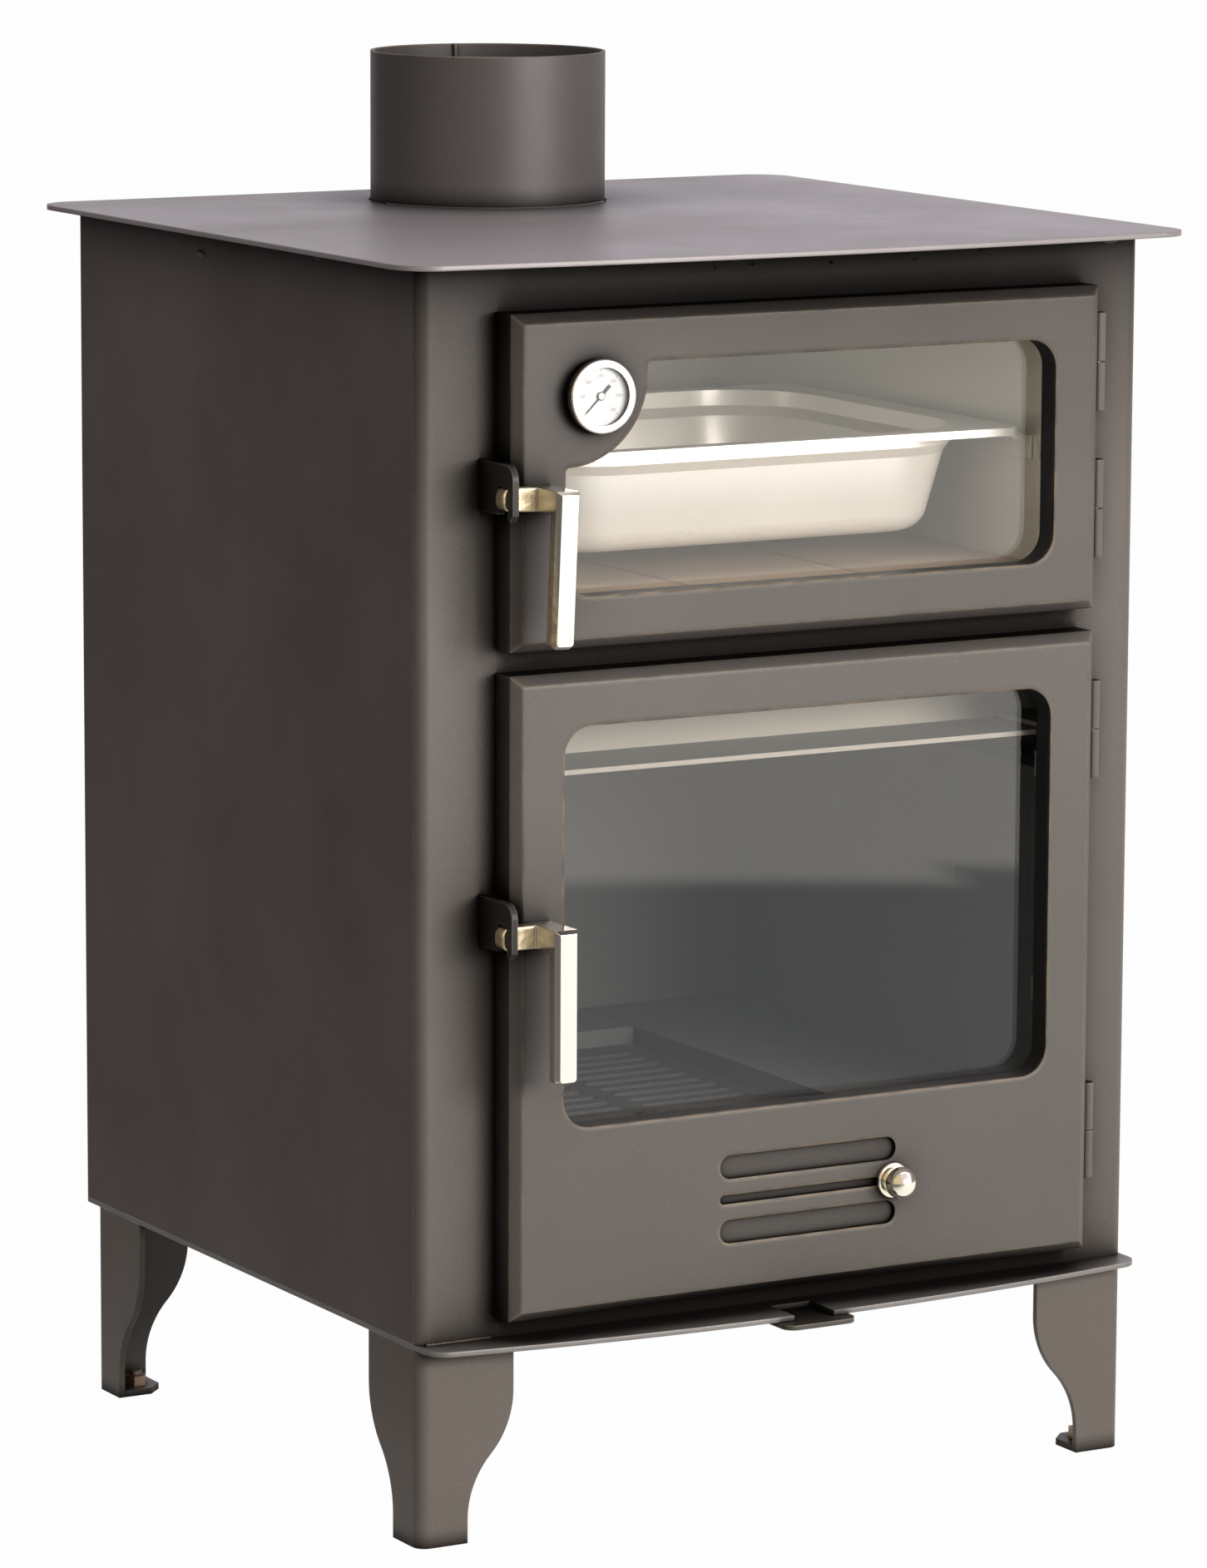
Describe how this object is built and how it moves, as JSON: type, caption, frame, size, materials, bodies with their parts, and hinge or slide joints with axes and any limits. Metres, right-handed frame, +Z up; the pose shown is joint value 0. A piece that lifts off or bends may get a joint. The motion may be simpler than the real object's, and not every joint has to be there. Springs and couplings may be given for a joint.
{
  "type": "wood stove with oven",
  "caption": "Free-standing steel wood stove: glazed oven door over a glazed fire door, bowed hob with rear flue collar, four folded legs, latch handles and air slides.",
  "frame": {"origin": "centre of the overall box in plan, on the floor under the feet", "axes": "+X to the viewer's right, front faces -Y, +Z up"},
  "size_m": [0.544, 0.538, 0.862],
  "materials": {
    "stove_paint": "heat-resistant dark grey-brown metallic paint, satin",
    "black_steel": "matt black heat-resistant paint",
    "plain_steel": "plain mill-finish sheet steel",
    "dark_plate": "bare dark rolled plate",
    "brass": "polished cast brass",
    "ceramic_glass": "clear ceramic stove glass",
    "glass_fibre": "woven white glass-fibre",
    "firebrick": "pressed vermiculite firebrick, pale pink-buff",
    "cast_iron": "raw grey cast iron",
    "stainless": "pressed satin stainless steel",
    "gauge_bezel": "bright rolled ring",
    "gauge_case": "dark pressed drum",
    "gauge_dial": "white lacquered disc",
    "gauge_lens": "clear flat glass",
    "gauge_needle": "black lacquered steel"
  },
  "bodies": {
    "stove": {"front_panel": "stove_paint", "side_panel_left": "stove_paint", "side_panel_right": "stove_paint", "back_panel": "stove_paint", "top_plate": "stove_paint", "bottom_plate": "stove_paint", "flue_collar": "stove_paint", "leg_front_left": "stove_paint", "leg_front_right": "stove_paint", "leg_rear_left": "stove_paint", "leg_rear_right": "stove_paint", "foot_plates": "stove_paint", "catch_plates": "stove_paint", "frame_hinge_barrels": "stove_paint", "slide_rails": "stove_paint", "foot_bolts": "plain_steel", "hinge_pins": "plain_steel", "pan_runners": "plain_steel", "oven_liner": "plain_steel", "hearth_plate": "dark_plate", "ash_pan": "dark_plate", "ash_pan_runners": "dark_plate", "airwash_deflector": "dark_plate", "oven_floor_bricks": "firebrick", "hearth_bricks": "firebrick", "firebrick_linings": "firebrick", "grate": "cast_iron", "baking_pan": "stainless"},
    "oven_door": {"oven_door_panel": "stove_paint", "oven_window_frame": "black_steel", "oven_glass_gasket": "glass_fibre", "oven_glass": "ceramic_glass", "oven_glass_clips": "plain_steel", "oven_clip_screws": "plain_steel", "oven_seal_channel": "black_steel", "oven_rope_seal": "glass_fibre", "oven_door_barrels": "stove_paint", "thermometer_case": "gauge_case", "thermometer_bezel": "gauge_bezel", "thermometer_dial": "gauge_dial", "thermometer_lens": "gauge_lens", "thermometer_stem": "plain_steel"},
    "fire_door": {"fire_door_panel": "stove_paint", "fire_window_frame": "black_steel", "fire_glass_gasket": "glass_fibre", "fire_glass": "ceramic_glass", "fire_glass_clips": "plain_steel", "fire_clip_screws": "plain_steel", "fire_seal_channel": "black_steel", "fire_rope_seal": "glass_fibre", "fire_door_barrels": "stove_paint", "air_slide_guides": "black_steel"},
    "oven_latch": {"oven_handle": "brass", "oven_handle_spindle": "plain_steel"},
    "fire_latch": {"fire_handle": "brass", "fire_handle_spindle": "plain_steel"},
    "air_control": {"air_slide": "stove_paint", "air_knob": "brass"},
    "base_air_control": {"bottom_air_slide": "stove_paint"},
    "gauge_pointer": {"thermometer_needle": "gauge_needle"}
  },
  "joints": [
    {"name": "oven_door_hinge", "type": "hinge", "parent": "stove", "child": "oven_door", "pos_m": [0.213, -0.218, 0.637], "axis": [0, 0, 1], "range_deg": [0, 130]},
    {"name": "fire_door_hinge", "type": "hinge", "parent": "stove", "child": "fire_door", "pos_m": [0.213, -0.218, 0.3305], "axis": [0, 0, 1], "range_deg": [0, 130]},
    {"name": "oven_latch_pivot", "type": "hinge", "parent": "oven_door", "child": "oven_latch", "pos_m": [-0.1835, -0.239, 0.6292], "axis": [0, -1, 0], "range_deg": [0, 75]},
    {"name": "fire_latch_pivot", "type": "hinge", "parent": "fire_door", "child": "fire_latch", "pos_m": [-0.1835, -0.239, 0.3715], "axis": [0, -1, 0], "range_deg": [0, 75]},
    {"name": "air_slide_travel", "type": "slide", "parent": "fire_door", "child": "air_control", "axis": [-1, 0, 0], "range_m": [0, 0.118]},
    {"name": "base_slide_travel", "type": "slide", "parent": "stove", "child": "base_air_control", "axis": [0, -1, 0], "range_m": [0, 0.05]},
    {"name": "gauge_pointer_turn", "type": "hinge", "parent": "oven_door", "child": "gauge_pointer", "pos_m": [-0.146, -0.238, 0.687], "axis": [0, 1, 0], "range_deg": [0, 270]}
  ]
}
